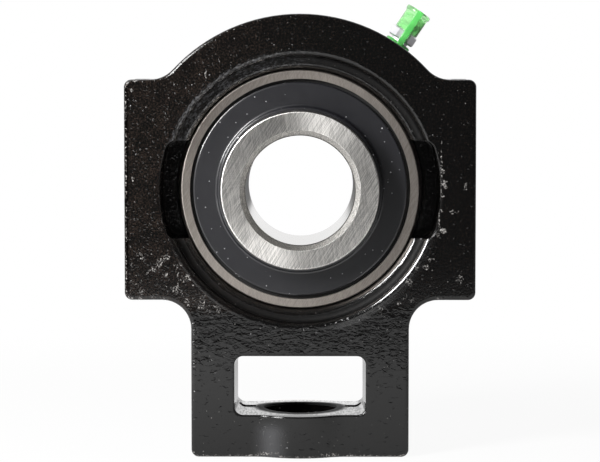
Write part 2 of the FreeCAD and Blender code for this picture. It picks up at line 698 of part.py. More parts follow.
def make_seal(label, sign):
    """A seal, with its rim in the outer ring and a lip bead by the inner ring."""
    body = new_body(label)
    inner, outer = "(seal_shelf)", "(seal_shelf + seal_thickness)"
    lip = "(inner_diameter / 2 + seal_lip_clearance)"
    bead = "(inner_diameter / 2 + seal_lip_clearance + seal_lip_width)"
    proud = "(seal_shelf + seal_thickness + seal_lip_height)"
    rim = "(outer_face_bore / 2 + seal_groove_depth)"
    turned(body, "Revolution", "disc", outline(new_sketch(body, "disc_section", "XY"), [
        (lip, sign + inner), (rim, sign + inner), (rim, sign + outer), (bead, sign + outer),
        (bead, sign + proud), (lip, sign + proud)]))


def make_flinger(label, sign):
    """A slinger disc with a collar on the inner ring and a short skirt inside its rim."""
    body = new_body(label)
    bore, rim = "inner_diameter / 2", "flinger_diameter / 2"
    hub, skirt = "flinger_hub_diameter / 2", "(flinger_diameter / 2 - flinger_sheet)"
    face, top = "flinger_face", "(flinger_face + flinger_hub_height)"
    under, low = "(flinger_face - flinger_sheet)", "(flinger_face - flinger_skirt)"
    turned(body, "Revolution", "disc", outline(new_sketch(body, "disc_section", "XY"), [
        (bore, sign + under), (skirt, sign + under), (skirt, sign + low), (rim, sign + low),
        (rim, sign + face), (hub, sign + face), (hub, sign + top), (bore, sign + top)]))
    side = -1 if sign else 1
    sizes = {name: number(text) for name, text in (("rim", rim), ("hub", hub), ("face", face), ("top", top))}
    eased(body, "Fillet", "collar_blend", "flinger_blend",
          lambda edge: ring_edge(edge, sizes["hub"], side * sizes["face"]))
    eased(body, "Fillet", "rounded_rims", "flinger_edge",
          lambda edge: ring_edge(edge, sizes["rim"], side * sizes["face"])
          or ring_edge(edge, sizes["hub"], side * sizes["top"]))


def make_set_screw(label, sign):
    """A socket set screw with a cup point, in its place in the inner ring."""
    body = new_body(label)
    tip, end = SCREW_TIP, "(%s + set_screw_length)" % SCREW_TIP
    shank = "(set_screw_diameter / 2 - set_screw_clearance)"
    turned(body, "Revolution", "screw", outline(new_sketch(body, "screw_section", "XZ"), [
        ("0", tip + " + set_screw_cup_depth"), ("set_screw_cup / 2", tip), ("set_screw_point / 2", tip),
        (shank, tip + " + set_screw_cone"), (shank, end), ("0", end)]))
    shank_size, end_size = number(shank), number(end)
    eased(body, "Chamfer", "end_chamfer", "set_screw_edge",
          lambda edge: upright_ring(edge, shank_size, end_size))
    socket = hexagon(new_sketch(body, "socket_outline", "XY", end), "set_screw_socket")
    pocket(body, "socket", socket, "set_screw_socket_depth")
    body.Placement = FreeCAD.Placement(Vector(), FreeCAD.Rotation(Vector(0, 1, 0), 1))
    body.setExpression("Placement.Rotation.Angle", link(sign + "set_screw_angle"))
    body.setExpression("Placement.Base.y", link(SCREW_PLANE))


def lean(thing):
    """Turn an upright piece of the nipple to where it stands on the crown."""
    thing.Placement = FreeCAD.Placement(Vector(), FreeCAD.Rotation(Vector(0, 1, 0), 1))
    thing.setExpression("Placement.Rotation.Angle", link("nipple_angle"))


def make_grease_nipple():
    """The nipple's body: stem, neck, hexagon and head, bored for the valve."""
    body = new_body("grease_nipple")
    stem, neck, waist = "nipple_thread / 2", "nipple_neck / 2", "nipple_waist / 2"
    head, tip = "nipple_head / 2", "nipple_tip / 2"
    bottom = "(%s - nipple_stem)" % NIPPLE_SEAT
    cheek = "(%s + head_flank)" % HEAD_BASE
    turned(body, "Revolution", "stem_and_head", outline(new_sketch(body, "stem_section", "XZ"), [
        ("0", bottom), (stem, bottom), (stem, NIPPLE_SEAT), (neck, NIPPLE_SEAT),
        (neck, HEXAGON_BASE), (waist, HEXAGON_BASE + " + hexagon_height"), (waist, HEAD_BASE),
        (head, cheek), (head, cheek + " + head_band"), (tip, NIPPLE_TIP), ("0", NIPPLE_TIP)]))
    flats = hexagon(new_sketch(body, "hexagon_outline", "XY", HEXAGON_BASE), "hexagon_flats")
    pad(body, "hexagon", flats, "hexagon_height")
    low, high = number(HEXAGON_BASE), number(WAIST_BASE)
    eased(body, "Chamfer", "hexagon_chamfers", "hexagon_chamfer",
          lambda edge: isinstance(edge.Curve, Part.Line) and near(edge.BoundBox.ZLength, 0)
          and (near(edge.BoundBox.ZMin, low) or near(edge.BoundBox.ZMin, high)))
    turned(body, "Groove", "valve_bore", outline(new_sketch(body, "valve_section", "XZ"), [
        ("0", bottom + " - overcut"), ("valve_passage / 2", bottom + " - overcut"),
        ("valve_passage / 2", VALVE_LEDGE), ("valve_bore / 2", VALVE_LEDGE),
        ("valve_bore / 2", VALVE_SEAT), ("valve_mouth / 2", VALVE_SEAT),
        ("valve_mouth / 2", NIPPLE_TIP + " + overcut"), ("0", NIPPLE_TIP + " + overcut")]))
    lean(body)


def make_nipple_valve():
    """The valve's ball, and the spring that holds it against the tip."""
    ball = doc.addObject("Part::Sphere", "nipple_ball")
    bind(ball, Radius="valve_ball / 2")
    ball.setExpression("Placement.Base.x", link("%s * sin(nipple_angle)" % VALVE_BALL_CENTRE))
    ball.setExpression("Placement.Base.z", link("%s * cos(nipple_angle)" % VALVE_BALL_CENTRE))
    nodes.append(ball)

    wire = "spring_wire / 2"
    touch = "sqrt((valve_ball / 2 + spring_wire / 2) ^ 2 - (spring_diameter / 2) ^ 2)"
    low = "(%s + %s)" % (VALVE_LEDGE, wire)
    length = "(%s - %s - %s - valve_clearance)" % (VALVE_BALL_CENTRE, touch, low)
    path = doc.addObject("Part::Helix", "spring_path")
    bind(path, Radius="spring_diameter / 2", Height=length, Pitch=length + " / spring_turns")
    path.setExpression("Placement.Base.z", link(low))
    section = doc.addObject("Part::Circle", "spring_section")
    bind(section, Radius=wire)
    section.Placement = FreeCAD.Placement(Vector(), FreeCAD.Rotation(Vector(1, 0, 0), 90))
    section.setExpression("Placement.Base.x", link("spring_diameter / 2"))
    section.setExpression("Placement.Base.z", link(low))
    spring = doc.addObject("Part::Sweep", "nipple_spring")
    spring.Sections = [section]
    spring.Spine = (path, [])
    spring.Solid = True
    spring.Frenet = True
    doc.recompute()
    lean(spring)
    nodes.append(spring)


def make_nipple_cap():
    """The plastic cap: a cup over the head, a ring round the neck and the strap between them."""
    body = new_body("nipple_cap")
    barrel, flange = "cap_barrel / 2", "cap_flange / 2"
    hollow = "(cap_barrel / 2 - cap_wall)"
    rim = "(%s + cap_rim_gap)" % WAIST_BASE
    under = "(%s - cap_flange_height)" % CAP_TOP
    floor = "(%s + cap_roof)" % CAP_ROOF
    turned(body, "Revolution", "cup", outline(new_sketch(body, "cup_section", "XZ"), [
        (hollow, rim), (barrel, rim), (barrel, under), (flange, under), (flange, CAP_TOP),
        ("cap_dimple / 2", CAP_TOP), ("cap_dimple / 2", floor), ("0", floor), ("0", CAP_ROOF),
        (hollow, CAP_ROOF)]))
    strap_left, strap_right = "(strap_offset - strap_width / 2)", "(strap_offset + strap_width / 2)"
    strap_in = "-(hexagon_flats / 2 + strap_gap)"
    strap_out = "-(hexagon_flats / 2 + strap_gap + strap_thickness)"
    strap = outline(new_sketch(body, "strap_outline", "XY", NIPPLE_SEAT), [
        (strap_right, strap_in), (strap_left, strap_in), (strap_left, strap_out), (strap_right, strap_out)])
    pad(body, "strap", strap, "%s - %s" % (CAP_TOP, NIPPLE_SEAT))
    ring = new_sketch(body, "ring_outline", "XY", NIPPLE_SEAT)
    circle(ring, "0", "0", flange)
    circle(ring, "0", "0", "cap_ring_bore / 2")
    pad(body, "ring", ring, "cap_ring_height")
    top_size = [number(flange), number(CAP_TOP), number(NIPPLE_SEAT + " + cap_ring_height")]
    eased(body, "Fillet", "soft_edges", "cap_wall / 2",
          lambda edge: upright_ring(edge, top_size[0], top_size[1]))
    lean(body)


def write_nodes():
    """Check each object and write one file for each node."""
    doc.recompute()
    for thing in doc.Objects:
        if any(state in ("Invalid", "Error") for state in thing.State):
            raise RuntimeError("failed: %s %s" % (thing.Label, thing.State))
    os.makedirs("parts", exist_ok=True)
    for node in nodes:
        if node.Shape.isNull() or not node.Shape.isValid():
            raise RuntimeError("bad shape: " + node.Label)
        node.Shape.exportStep("parts/%s.step" % node.Label)
        print("%s: %d solid(s), %.1f mm3" % (node.Label, len(node.Shape.Solids), node.Shape.Volume))


fill_sheet()
make_housing()
make_outer_ring()
make_inner_ring()
make_balls()
make_cage_half("cage_front", -1)
make_cage_half("cage_rear", 1)
make_cage_rivets()
make_seal("seal_front", "-")
make_seal("seal_rear", "")
make_flinger("flinger_front", "-")
make_flinger("flinger_rear", "")
make_set_screw("set_screw_1", "")
make_set_screw("set_screw_2", "-")
make_grease_nipple()
make_nipple_valve()
make_nipple_cap()
write_nodes()
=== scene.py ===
"""Looks of the take-up bearing unit: glossy black casting, ground steel rings, slinger discs and
the grease nipple under its green cap. Metres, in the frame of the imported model."""
import math
from types import SimpleNamespace

import bmesh
import bpy
from mathutils import Matrix, Vector


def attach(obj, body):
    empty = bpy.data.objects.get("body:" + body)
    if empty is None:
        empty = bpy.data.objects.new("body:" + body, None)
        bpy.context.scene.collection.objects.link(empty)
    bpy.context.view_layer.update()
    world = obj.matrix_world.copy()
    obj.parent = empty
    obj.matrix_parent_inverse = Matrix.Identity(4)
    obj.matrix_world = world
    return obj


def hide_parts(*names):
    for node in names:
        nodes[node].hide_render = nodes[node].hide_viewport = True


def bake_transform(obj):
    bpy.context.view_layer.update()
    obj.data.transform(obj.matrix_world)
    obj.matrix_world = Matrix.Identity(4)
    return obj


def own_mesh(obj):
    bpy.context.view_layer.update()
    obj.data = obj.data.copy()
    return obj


MM = 0.001

# Where the photograph was taken from. The lens and the sensor are in millimetres.
CAMERA_PLACE = (4.2 * MM, -730.52 * MM, 37.65 * MM)
CAMERA_TURN = math.radians(0.337)
CAMERA_DIP = math.radians(3.956)
CAMERA_ROLL = math.radians(0.017)
CAMERA_LENS = 148.4
CAMERA_SENSOR = 36.0
CAMERA_NEAREST = 0.01
CAMERA_FARTHEST = 20.0

# The white table, which ends in front of the object, before the dark room begins. The object's
# shadow on it is faint, and fades out with the distance from the object.
TABLE_LEVEL = -78.0 * MM
TABLE_FRONT = -0.39
TABLE_BACK = 3.0
TABLE_SIDE = 2.5
TABLE_COLOUR = (0.8, 0.8, 0.8, 1)
SHADOW_SHARE = 0.06
SHADOW_WHOLE = 0.12
SHADOW_GONE = 0.35

# The light: a soft lamp on the upper left in front, even light all round, and in reflections the
# half bright left and the dim front of the room.
WHITE = (1, 1, 1, 1)
LAMP_PLACE = (-0.39, -0.40, 0.27)
LAMP_SIDE = 0.16
LAMP_HEIGHT = 0.32
LAMP_POWER = 7.0
EVEN_LIGHT = 0.18
LEFT_LIGHT = 0.5
ROOM_LIGHT = 0.04

# Where the casting's form changes: its front face, its left edge, how far from the bearing's axis
# only its outside is left, its bottom edge, and how far over on the left the paint is worn.
FRONT_FACE = -15.0 * MM
LEFT_EDGE = -51.0 * MM
CROWN_START = 52.0 * MM
LOW_EDGE = -76.5 * MM
WORN_LEFT = -47.0 * MM

# The recess round the bearing, as distances from its axis: the start of the ridge, the cove and
# the edge of the recess. Then the half width of the loading slots and their end.
RIDGE_START = 35.0 * MM
COVE_START = 37.1 * MM
COVE_END = 38.6 * MM
RECESS_EDGE = 40.5 * MM
SLOT_HALF = 14.4 * MM
SLOT_END = 47.0 * MM

# The neck below the bearing, with the nut window through it and painted sheen in a streak on its foot.
NECK_TOP = -35.0 * MM
NECK_FOOT = -68.5 * MM
WINDOW_SIDE = 19.6 * MM
WINDOW_FLOOR = -66.0 * MM
WINDOW_ROOF = -47.5 * MM
WINDOW_MIDDLE = (WINDOW_FLOOR + WINDOW_ROOF) / 2
STREAK_LEFT = -15.0 * MM
STREAK_MIDDLE = -8.4 * MM
STREAK_RIGHT = -2.0 * MM

# The rough ground in the window round the screw hole: how far from the hole's axis it is full
# and where it ends.
ROUGH_GROUND = 12.4 * MM
ROUGH_END = 15.0 * MM

# The fin left by the parting of the mould: where it starts and ends beside the middle, half its
# width at the foot, how far it sinks into the floor and how far it stands out.
SEAM_START = 13.2 * MM
SEAM_END = 17.9 * MM
SEAM_STEPS = 8
SEAM_FOOT = 0.6 * MM
SEAM_SINK = 0.25 * MM
SEAM_RISE = 0.30 * MM

# The grease nipple's axis leans from the top of the crown. Heights run along it, from the
# bearing's centre: the seat on the crown, the valve's spring and the cap's ring and cup.
NIPPLE_LEAN = math.radians(34)
NIPPLE_SEAT = 50.61 * MM
RING_TOP = 51.75 * MM
CUP_RIM = 55.6 * MM
CUP_TOP = 62.66 * MM

# The cap. The radii of its barrel, hollow, flange and neck and of the dimple in its top, the
# heights of the hollow's roof, the flange's underside and the dimple's floor, and the strap.
BARREL = 3.55 * MM
HOLLOW = 3.27 * MM
FLANGE = 3.9 * MM
CAP_NECK = 2.7 * MM
DIMPLE = 2.3 * MM
DIMPLE_FOOT = 2.2 * MM
DIMPLE_FLOOR = 62.15 * MM
HOLLOW_ROOF = 60.9 * MM
FLANGE_UNDER = 61.4 * MM
CAP_ROUNDING = 0.15 * MM
STRAP_WIDTH = 1.9 * MM
STRAP_THICKNESS = 0.8 * MM
STRAP_ROUNDING = 0.2 * MM
STRAP_ACROSS = 0.4 * MM
STRAP_ALONG = -4.05 * MM
STRAP_CUTS = 24

# The black paint's relief, in millimetres: fine grain and nibs over sand all over, waves and dents
# on the neck, turned lines in the recess.
GRAIN_HEIGHT = 0.018
NIB_HEIGHT = 0.11
SWELL_HEIGHT = 0.004
WAVE_HEIGHT = 0.17
DENT_DEPTH = 0.42
TURNED_HEIGHT = 0.11

# The colours of the paint and its brown grains, also laid on the left as painted light, of the
# painted sheen on the foot and in the recess, of the dust on it and of the iron where it is off.
PAINT_BLACK = (0.0025, 0.0025, 0.0025, 1)
PAINT_BROWN = (0.028, 0.020, 0.016, 1)
SHEEN_STRIP_GREY = (0.036, 0.036, 0.038, 1)
RECESS_SHEEN_GREY = (0.07, 0.07, 0.074, 1)
SPECK_GREY = (0.12, 0.115, 0.11, 1)
IRON_DARK = (0.03, 0.028, 0.026, 1)
IRON_BRIGHT = (0.34, 0.325, 0.31, 1)

# How deep the chips and the one painted glint on the front face reach, and for each of them, in
# millimetres, its place across and up, its half width and its half height.
CHIP_AND_GLINT_DEPTH = 3.0 * MM
CHIPS_AND_GLINT = [
    (41.8, 2.0, 0.9, 1.5), (41.2, -1.6, 0.7, 0.6), (40.9, -6.0, 0.6, 0.5), (44.5, -6.3, 1.3, 0.6),
    (41.4, -11.6, 1.0, 0.9), (36.5, -22.3, 1.1, 0.8), (31.8, -26.7, 0.9, 0.9), (41.5, 5.2, 0.4, 1.0),
    (48.0, 0.8, 0.5, 1.2), (39.9, -13.0, 0.4, 0.9), (35.4, -0.4, 0.5, 0.6),
    (-48.6, 28.9, 0.5, 0.6), (-48.4, 3.2, 0.3, 0.8), (40.9, 5.5, 0.25, 8.0), (40.3, -9.5, 0.25, 4.0),
    # The last of the next line is no chip but a painted highlight: bare iron for the lamp's glint on the
    # top left corner.
    (-27.3, 33.4, 0.35, 0.9), (-10.5, -76.8, 2.0, 0.5), (0.5, -76.9, 1.6, 0.5), (-52.0, 33.3, 0.3, 0.9),
]


def feed(tree, sockets, values):
    """Give inputs their values, each a fixed value or another node's output."""
    for name, value in values.items():
        if isinstance(value, bpy.types.NodeSocket):
            tree.links.new(value, sockets[name])
        else:
            sockets[name].default_value = value


def put(tree, kind, inputs=None, **settings):
    """A shader node. Its inputs are named or numbered."""
    made = tree.nodes.new("ShaderNode" + kind)
    for name, value in settings.items():
        setattr(made, name, value)
    feed(tree, made.inputs, inputs or {})
    return made


def calc(tree, operation, *values):
    """The result of a Math node."""
    return put(tree, "Math", dict(enumerate(values)), operation=operation).outputs[0]


def chained(tree, operation, values):
    """A Math operation carried on through all the values."""
    result = values[0]
    for value in values[1:]:
        result = calc(tree, operation, result, value)
    return result


def product(tree, *values):
    """All the values multiplied together."""
    return chained(tree, "MULTIPLY", values)


def total(tree, *values):
    """All the values added up."""
    return chained(tree, "ADD", values)


def most(tree, *values):
    """The largest of the values."""
    return chained(tree, "MAXIMUM", values)


def away_from(tree, mask, share=1.0):
    """1 where a mask is 0, less by share where the mask is 1."""
    return calc(tree, "SUBTRACT", 1.0, product(tree, mask, share))


def ramp(tree, value, start, end):
    """A smooth step from 0 at start to 1 at end; end may be the smaller one."""
    if start > end:
        return away_from(tree, ramp(tree, value, end, start))
    return put(tree, "MapRange", {"Value": value, "From Min": start, "From Max": end},
               interpolation_type="SMOOTHSTEP").outputs["Result"]


def between(tree, value, low, high, soft):
    """1 from low to high, fading out over soft on each side."""
    return product(tree, ramp(tree, value, low - soft, low), ramp(tree, value, high + soft, high))


def vector_calc(tree, operation, *values):
    """The result of a Vector Math node."""
    made = put(tree, "VectorMath", dict(enumerate(values)), operation=operation)
    return made.outputs["Value" if operation == "LENGTH" else "Vector"]


def scaled(tree, vector, factor):
    """A vector times a number."""
    made = put(tree, "VectorMath", {"Vector": vector, "Scale": factor}, operation="SCALE")
    return made.outputs["Vector"]


def noise(tree, vector, scale, detail=2.0, roughness=0.5, distortion=0.0, output="Fac"):
    """A noise between 0 and 1, or its colour, with scale waves to a metre."""
    return put(tree, "TexNoise", {"Vector": vector, "Scale": scale, "Detail": detail,
                                  "Roughness": roughness, "Distortion": distortion}).outputs[output]


def blended(tree, share, first, second):
    """A colour between two others."""
    return put(tree, "Mix", {0: share, 6: first, 7: second}, data_type="RGBA").outputs[2]


def bumped(tree, distance, height, edge=None, samples=4):
    """The normal of a surface with a relief, height times distance. Edge is how far its edges look
    rounded over."""
    inputs = {"Strength": 1.0, "Distance": distance, "Height": height}
    if edge is not None:
        inputs["Normal"] = put(tree, "Bevel", {"Radius": edge}, samples=samples).outputs["Normal"]
    return put(tree, "Bump", inputs).outputs["Normal"]


def object_place(tree):
    """The object coordinates."""
    return put(tree, "TexCoord").outputs["Object"]


def shade(colour, factor):
    """An opaque colour, made darker or lighter."""
    return tuple(min(1.0, part * factor) for part in colour) + (1,)


def new_group(name, inputs, outputs):
    """An empty node group, with its inputs' defaults and its outputs' kinds."""
    tree = bpy.data.node_groups.new(name, "ShaderNodeTree")
    for socket, value in inputs.items():
        kind = "NodeSocketVector" if isinstance(value, tuple) else "NodeSocketFloat"
        tree.interface.new_socket(name=socket, in_out="INPUT", socket_type=kind).default_value = value
    for socket, kind in outputs.items():
        tree.interface.new_socket(name=socket, in_out="OUTPUT", socket_type="NodeSocket" + kind)
    return tree, tree.nodes.new("NodeGroupInput").outputs, tree.nodes.new("NodeGroupOutput").inputs


def use_group(tree, group, **inputs):
    """A node group placed in a material, with its own values."""
    made = put(tree, "Group", node_tree=group)
    feed(tree, made.inputs, inputs)
    return made.outputs


def new_material(name):
    """A material, its node tree and its shader's inputs."""
    made = bpy.data.materials.new(name)
    made.use_nodes = True
    return made, made.node_tree, made.node_tree.nodes["Principled BSDF"].inputs


def specks_group():
    """Small round specks, such as dust or pinholes: a share of the cells has one."""
    tree, given, out = new_group("specks", {"Scale": 300.0, "Size": 0.06, "Share": 0.3},
                                 {"Mask": "Float"})
    cells = put(tree, "TexVoronoi", {"Vector": object_place(tree), "Scale": given["Scale"],
                                     "Randomness": 1.0}).outputs
    near = calc(tree, "LESS_THAN", cells["Distance"], given["Size"])
    chance = put(tree, "SeparateColor", {"Color": cells["Color"]}).outputs[0]
    chosen = calc(tree, "LESS_THAN", chance, given["Share"])
    feed(tree, out, {"Mask": product(tree, near, chosen)})
    return tree


def nibs_group():
    """Rounded nibs of paint over grains of sand: a share of the cells has one. Height from 0 to 1."""
    tree, given, out = new_group("nibs", {"Scale": 900.0, "Size": 0.36, "Share": 0.6},
                                 {"Height": "Float"})
    bend, flattest = 0.9 * MM, 0.35
    place = object_place(tree)
    wobble = noise(tree, place, given["Scale"], output="Color")
    bent = vector_calc(tree, "ADD", place, scaled(tree, wobble, bend))
    cells = put(tree, "TexVoronoi", {"Vector": bent, "Scale": given["Scale"], "Randomness": 1.0}).outputs
    chance, size, _ = put(tree, "SeparateColor", {"Color": cells["Color"]}).outputs
    dome = put(tree, "MapRange", {"Value": cells["Distance"], "From Min": given["Size"], "From Max": 0.0},
               interpolation_type="SMOOTHSTEP").outputs["Result"]
    tall = total(tree, flattest, product(tree, size, 1 - flattest))
    chosen = calc(tree, "LESS_THAN", chance, given["Share"])
    feed(tree, out, {"Height": product(tree, dome, tall, chosen)})
    return tree


def edge_wear_group():
    """Worn specks on the rounded edges between the front or back face and the sides."""
    tree, given, out = new_group("edge_wear", {"Scale": 900.0, "Amount": 0.5, "Where": 1.0},
                                 {"Mask": "Float"})
    normal = put(tree, "NewGeometry").outputs["True Normal"]
    facing = calc(tree, "ABSOLUTE", put(tree, "SeparateXYZ", {"Vector": normal}).outputs["Y"])
    off_face = ramp(tree, facing, 0.995, 0.93)
    off_side = ramp(tree, facing, 0.05, 0.25)
    grain = noise(tree, object_place(tree), given["Scale"], detail=3.0, roughness=0.65)
    wear = product(tree, grain, off_face, off_side, given["Where"])
    feed(tree, out, {"Mask": calc(tree, "GREATER_THAN", wear, away_from(tree, given["Amount"]))})
    return tree


def ring_marks_group():
    """Marks on a ring about the Y axis. Around counts them round the ring, Across along its radius
    and Along its axis, and Slant turns them off the radius, as grinding does."""
    tree, given, out = new_group(
        "ring_marks", {"Around": 50.0, "Across": 0.0, "Along": 0.0, "Slant": 0.0, "Detail": 3.0},
        {"Mask": "Float", "Tangent": "Vector", "Radius": "Float"})
    place = object_place(tree)
    flat = vector_calc(tree, "MULTIPLY", place, (1, 0, 1))
    radius = vector_calc(tree, "LENGTH", flat)
    direction = vector_calc(tree, "NORMALIZE", flat)
    turn = product(tree, calc(tree, "LOGARITHM", radius, math.e), given["Slant"])
    spiral = put(tree, "VectorRotate", {"Vector": direction, "Angle": turn},
                 rotation_type="Y_AXIS").outputs["Vector"]
    along = product(tree, put(tree, "SeparateXYZ", {"Vector": place}).outputs["Y"], given["Along"])
    across = product(tree, radius, given["Across"])
    lift = put(tree, "CombineXYZ", {"Y": total(tree, along, across)}).outputs["Vector"]
    where = vector_calc(tree, "ADD", scaled(tree, spiral, given["Around"]), lift)
    feed(tree, out, {"Mask": noise(tree, where, scale=1.0, detail=given["Detail"], roughness=0.6),
                     "Tangent": vector_calc(tree, "CROSS_PRODUCT", direction, (0, 1, 0)),
                     "Radius": radius})
    return tree


def spot_group():
    """Flecks in a ragged spot, at a place across and up, with a half width and half height."""
    tree, given, out = new_group("spot", {"Centre": (0.0, 0.0, 0.0), "Size": (0.002, 0.002, 0.002)},
                                 {"Mask": "Float"})
    raggedness = 2.4
    place = object_place(tree)
    wobble = noise(tree, place, scale=900.0, detail=3.0, output="Color")
    shift = scaled(tree, vector_calc(tree, "SUBTRACT", wobble, (0.5, 0.5, 0.5)), raggedness)
    off = vector_calc(tree, "SUBTRACT", place, given["Centre"])
    off = vector_calc(tree, "DIVIDE", off, given["Size"])
    reach = vector_calc(tree, "LENGTH", vector_calc(tree, "ADD", off, shift))
    flecks = ramp(tree, noise(tree, place, scale=2300.0), 0.46, 0.56)
    feed(tree, out, {"Mask": product(tree, ramp(tree, reach, 1.1, 0.8), flecks)})
    return tree


def casting_places(tree, marks):
    """Where a point of the casting lies: its coordinates, its radius about the bearing's axis, the
    lines turned about that axis, and a mask for each part of the casting."""
    at = SimpleNamespace(point=object_place(tree))
    at.across, at.depth, at.height = put(tree, "SeparateXYZ", {"Vector": at.point}).outputs
    rings = use_group(tree, marks, Around=26.0, Across=1250.0)
    at.radius, at.lines = rings["Radius"], rings["Mask"]
    at.front = ramp(tree, at.depth, FRONT_FACE + 0.6 * MM, FRONT_FACE + 0.2 * MM)
    at.front_half = ramp(tree, at.depth, 0.0, FRONT_FACE / 2)
    at.upper = ramp(tree, at.height, 0.0, SLOT_HALF)
    at.lower = ramp(tree, at.height, 0.0, -SLOT_HALF)

    off_middle = calc(tree, "ABSOLUTE", at.height)
    at.off_slots = ramp(tree, off_middle, SLOT_HALF - 0.5 * MM, SLOT_HALF + 0.2 * MM)
    at.recess = ramp(tree, at.radius, RECESS_EDGE + 0.6 * MM, RECESS_EDGE - 0.4 * MM)
    at.cove = product(tree, between(tree, at.radius, COVE_START, COVE_END, soft=0.3 * MM), at.off_slots)

    at.neck = product(tree, at.front, ramp(tree, at.height, NECK_TOP + 2 * MM, NECK_TOP - 3 * MM))
    foot = product(tree, at.front, ramp(tree, at.height, NECK_FOOT + 2 * MM, NECK_FOOT - 2.5 * MM))
    # The streak of painted sheen on the foot: the lamp's reflection on the boss, grey in colour and
    # rougher.
    at.rubbed = product(tree, foot, ramp(tree, at.across, STREAK_LEFT, STREAK_MIDDLE),
                        ramp(tree, at.across, STREAK_RIGHT, STREAK_MIDDLE))

    at.mouth = product(tree, between(tree, at.across, -WINDOW_SIDE, WINDOW_SIDE, soft=0.1 * MM),
                       between(tree, at.height, WINDOW_FLOOR, WINDOW_ROOF, soft=0.1 * MM))
    at.window = product(tree, at.mouth, away_from(tree, at.front))
    from_hole = vector_calc(tree, "LENGTH", vector_calc(tree, "MULTIPLY", at.point, (1, 1, 0)))
    at.rough = product(tree, ramp(tree, from_hole, ROUGH_END, ROUGH_GROUND), at.window)
    return at


def grit_share(tree, at):
    """How much of the grit shows: nearly none on the neck and in the window, and in the recess more
    near the bearing and at the top."""
    smooth_neck, smooth_window, smooth_recess = 0.94, 0.85, 0.62
    grit_by_bearing, grit_at_top = 0.24, 0.45
    by_bearing = ramp(tree, at.radius, COVE_END, COVE_START)
    evened = calc(tree, "SUBTRACT", smooth_recess, product(tree, by_bearing, grit_by_bearing))
    smooth = most(tree, product(tree, at.neck, smooth_neck), product(tree, at.window, smooth_window),
                  product(tree, at.recess, evened, away_from(tree, at.upper, grit_at_top)))
    return away_from(tree, smooth)


def paint_relief(tree, at, nibs, calm, nibs_and_painted_light_left):
    """The paint's relief in millimetres, as the heights at the top of this file say."""
    domes = use_group(tree, nibs, Scale=1000.0, Size=0.38, Share=nibs_and_painted_light_left)["Height"]
    grain = noise(tree, at.point, scale=2100.0, detail=2.5)
    grit = total(tree, product(tree, grain, GRAIN_HEIGHT), product(tree, domes, NIB_HEIGHT))

    drawn_out = vector_calc(tree, "MULTIPLY", at.point, (0.5, 1.0, 1.0))
    up_neck = ramp(tree, at.height, WINDOW_FLOOR, NECK_TOP)
    swell = product(tree, noise(tree, drawn_out, scale=560.0, detail=3.0, roughness=0.55),
                    total(tree, SWELL_HEIGHT, product(tree, up_neck, at.neck, WAVE_HEIGHT)))

    surface_level, more_up_neck = 0.65, 0.20
    pits = noise(tree, drawn_out, scale=1000.0, distortion=0.7)
    sunk = most(tree, total(tree, pits, -surface_level, product(tree, up_neck, more_up_neck)), 0.0)
    dents = product(tree, sunk, at.neck, -DENT_DEPTH)

    turning = product(tree, at.lines, at.recess, TURNED_HEIGHT)
    return total(tree, product(tree, grit, calm), swell, dents, turning)


def paint_chips_and_glint(tree, at, edge_wear, spot):
    """Where the paint is off: specks along the bottom, the slots and the left, curled flakes low on
    the left of the front face, and the chips listed at the top of this file, one of them a painted glint."""
    low_edge = ramp(tree, at.height, LOW_EDGE + MM, LOW_EDGE)
    slot_edge = product(tree, ramp(tree, at.radius, SLOT_END + 2 * MM, SLOT_END),
                        away_from(tree, at.recess))
    on_left = ramp(tree, at.across, WORN_LEFT + 5 * MM, WORN_LEFT)
    where = product(tree, most(tree, low_edge, slot_edge, on_left), at.front_half)
    worn = use_group(tree, edge_wear, Scale=1500.0, Amount=0.46, Where=where)["Mask"]

    more_on_left = 0.12
    curls = calc(tree, "ABSOLUTE", total(tree, noise(tree, at.point, scale=1250.0, detail=3.0), -0.5))
    to_left = product(tree, ramp(tree, at.across, -10 * MM, -25 * MM), more_on_left)
    low_left = product(tree, ramp(tree, at.height, -8 * MM, -20 * MM),
                       total(tree, 1 - more_on_left, to_left))
    patches = product(tree, noise(tree, at.point, scale=330.0, detail=3.0), low_left)
    flakes = product(tree, ramp(tree, curls, 0.045, 0.025), ramp(tree, patches, 0.545, 0.60), at.front,
                     away_from(tree, most(tree, at.neck, at.recess)))

    spots = [use_group(tree, spot, Centre=(across * MM, FRONT_FACE, up * MM),
                       Size=(half_width * MM, CHIP_AND_GLINT_DEPTH, half_height * MM))["Mask"]
             for across, up, half_width, half_height in CHIPS_AND_GLINT]
    return most(tree, worn, flakes, *spots)


def sheen_streaks(tree, at, marks):
    """Painted sheen: streaks along the turned lines on the upper left of the recess, where the lamp
    grazes.
    """
    fine_lines = use_group(tree, marks, Around=40.0, Across=2200.0)["Mask"]
    patches = noise(tree, at.point, scale=700.0, detail=3.0)
    return product(tree, ramp(tree, fine_lines, 0.44, 0.60), ramp(tree, patches, 0.36, 0.56),
                   ramp(tree, at.radius, RIDGE_START + 0.6 * MM, RIDGE_START + 1.2 * MM),
                   ramp(tree, at.radius, RECESS_EDGE + 0.3 * MM, RECESS_EDGE - 0.3 * MM),
                   ramp(tree, at.across, 12 * MM, -20 * MM), at.off_slots, at.upper, at.front_half)


